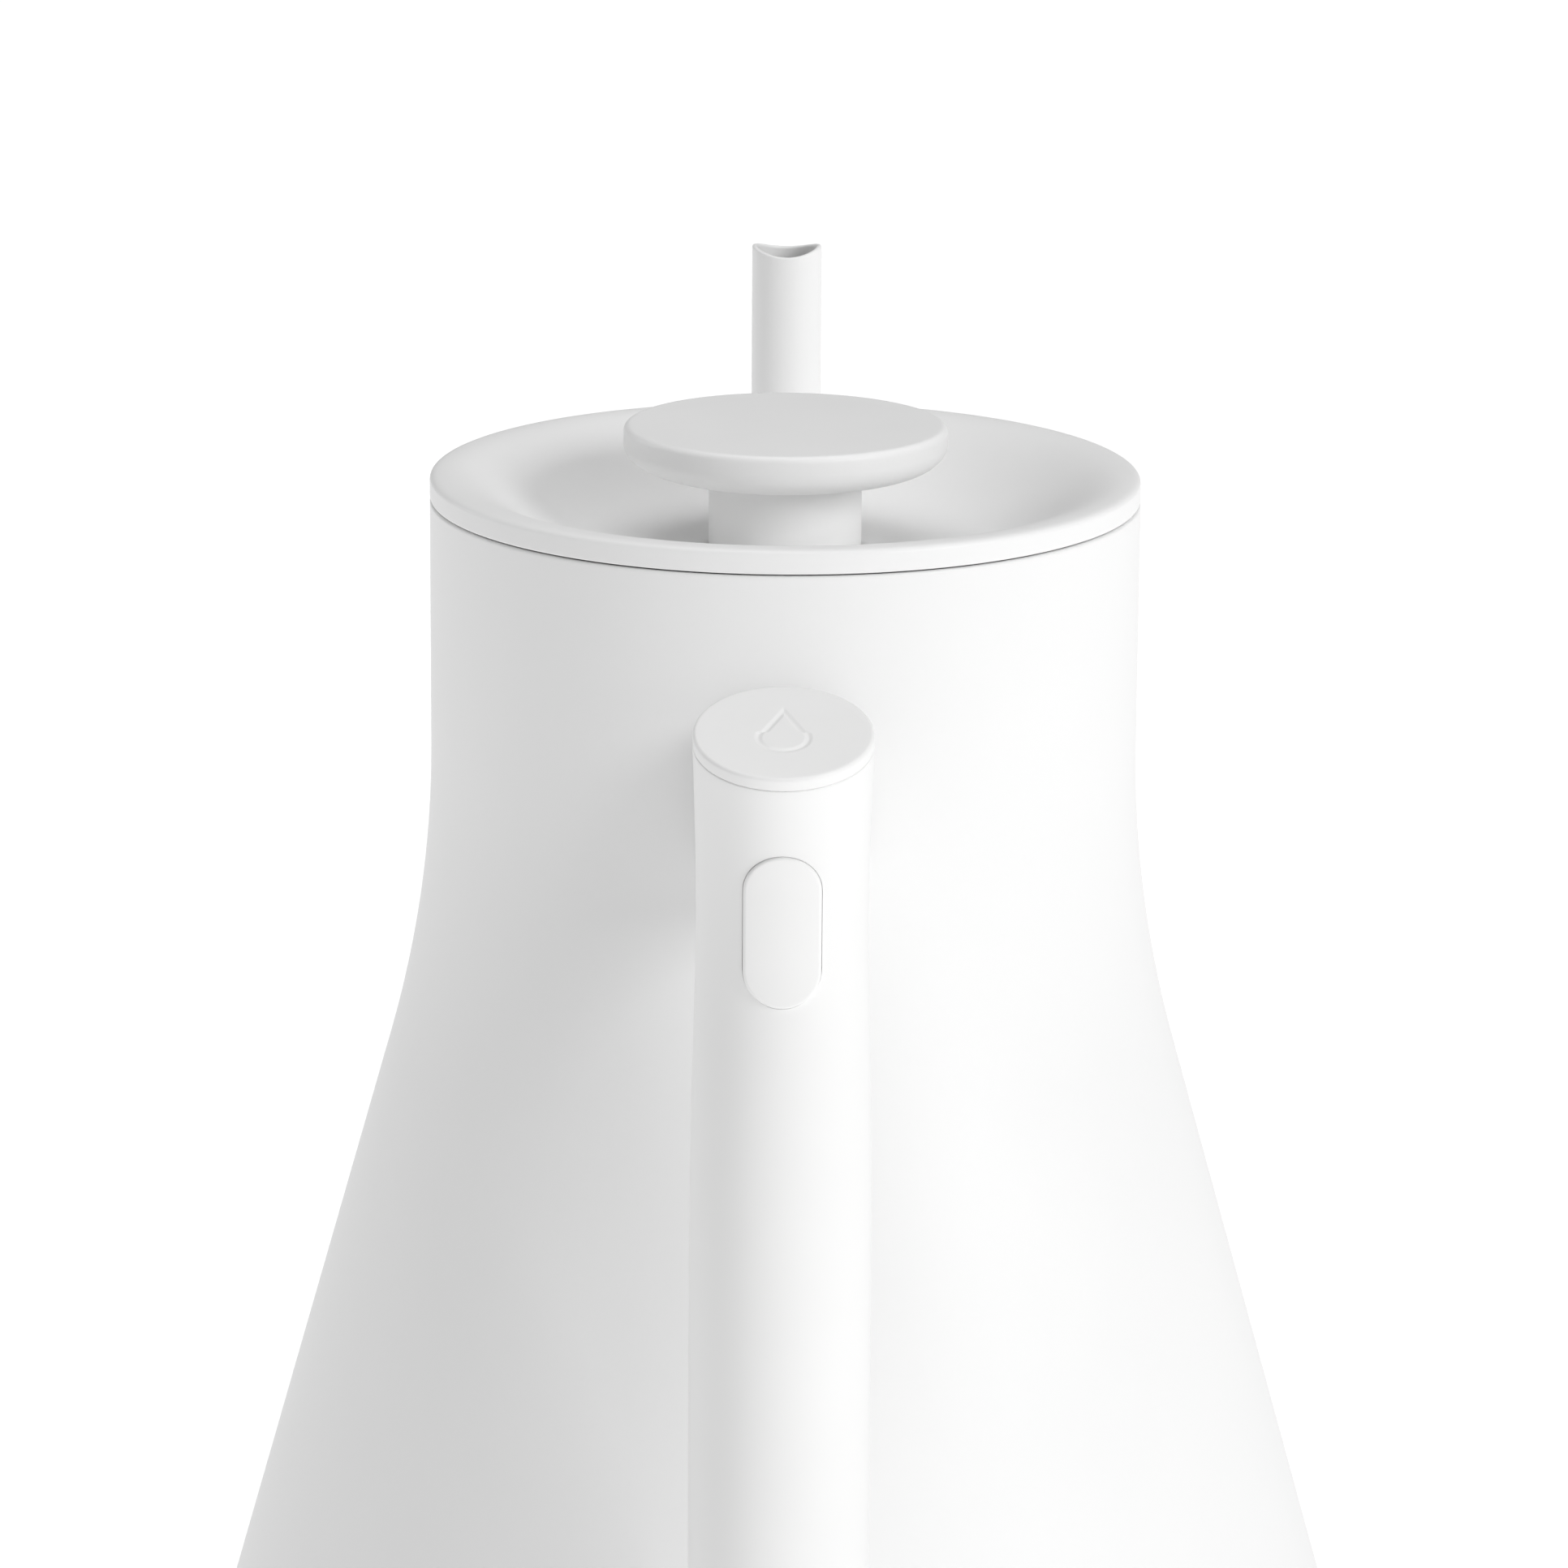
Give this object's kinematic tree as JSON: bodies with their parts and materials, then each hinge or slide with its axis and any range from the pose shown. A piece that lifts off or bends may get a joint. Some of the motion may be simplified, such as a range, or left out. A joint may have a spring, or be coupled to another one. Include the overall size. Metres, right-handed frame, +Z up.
{
  "type": "stovetop kettle",
  "caption": "Conical stovetop whistling kettle with a dished lift-off lid, a bar handle with a release button and a slim upright spout.",
  "frame": {"origin": "centre of the base plate's underside, on the table", "axes": "+Z up along the kettle's axis, handle on the -Y side, spout on the +Y side"},
  "size_m": [0.171, 0.2508, 0.2022],
  "materials": {
    "white_enamel": "matt white powder coat on steel",
    "white_plastic": "matt white moulded plastic",
    "brushed_steel": "brushed stainless steel",
    "spring_steel": "drawn stainless wire and pins",
    "grey_silicone": "matt grey silicone",
    "magnet": "nickel-plated magnet"
  },
  "bodies": {
    "kettle": {"body_shell": "white_enamel", "body_floor": "white_enamel", "base_plate": "brushed_steel", "spout_tube": "white_enamel", "spout_collar": "white_enamel", "bridge_arm": "white_plastic", "arm_gasket": "grey_silicone", "arm_screw_left": "brushed_steel", "arm_screw_right": "brushed_steel", "arm_screw_lower": "brushed_steel", "rod_seal": "grey_silicone", "latch_bracket": "brushed_steel", "latch_pin": "spring_steel", "handle_grip": "white_plastic", "handle_top_cap": "white_plastic", "handle_end_plug": "white_plastic", "handle_tie_rod": "brushed_steel", "handle_tie_screw": "brushed_steel"},
    "lid": {"lid_plate": "white_enamel", "lid_skirt": "brushed_steel", "lid_gasket": "grey_silicone", "keeper_plate": "brushed_steel", "knob_cap": "white_enamel", "knob_stem": "white_enamel", "stem_washer": "grey_silicone", "stem_nut": "brushed_steel", "whistle_cup": "brushed_steel", "whistle_disc": "brushed_steel"},
    "button": {"thumb_button": "white_plastic", "push_rod": "spring_steel", "button_spring": "spring_steel"},
    "catch": {"latch_rocker": "brushed_steel", "catch_magnet": "magnet"}
  },
  "joints": [
    {"name": "lid_lift", "type": "slide", "parent": "kettle", "child": "lid", "axis": [0, 0, 1], "range_m": [0, 0.06]},
    {"name": "button_press", "type": "slide", "parent": "kettle", "child": "button", "axis": [0, 1, 0], "range_m": [0, 0.0025], "stiffness_N_per_m": 600, "springref_m": -0.002, "deforming": ["button_spring"]},
    {"name": "catch_swing", "type": "hinge", "parent": "kettle", "child": "catch", "pos_m": [0, -0.0425, 0.1595], "axis": [1, 0, 0], "range_deg": [0, 23.5]}
  ],
  "couplings": [
    {"joint": "catch_swing", "follows": "button_press", "rad_per_m": 160}
  ]
}
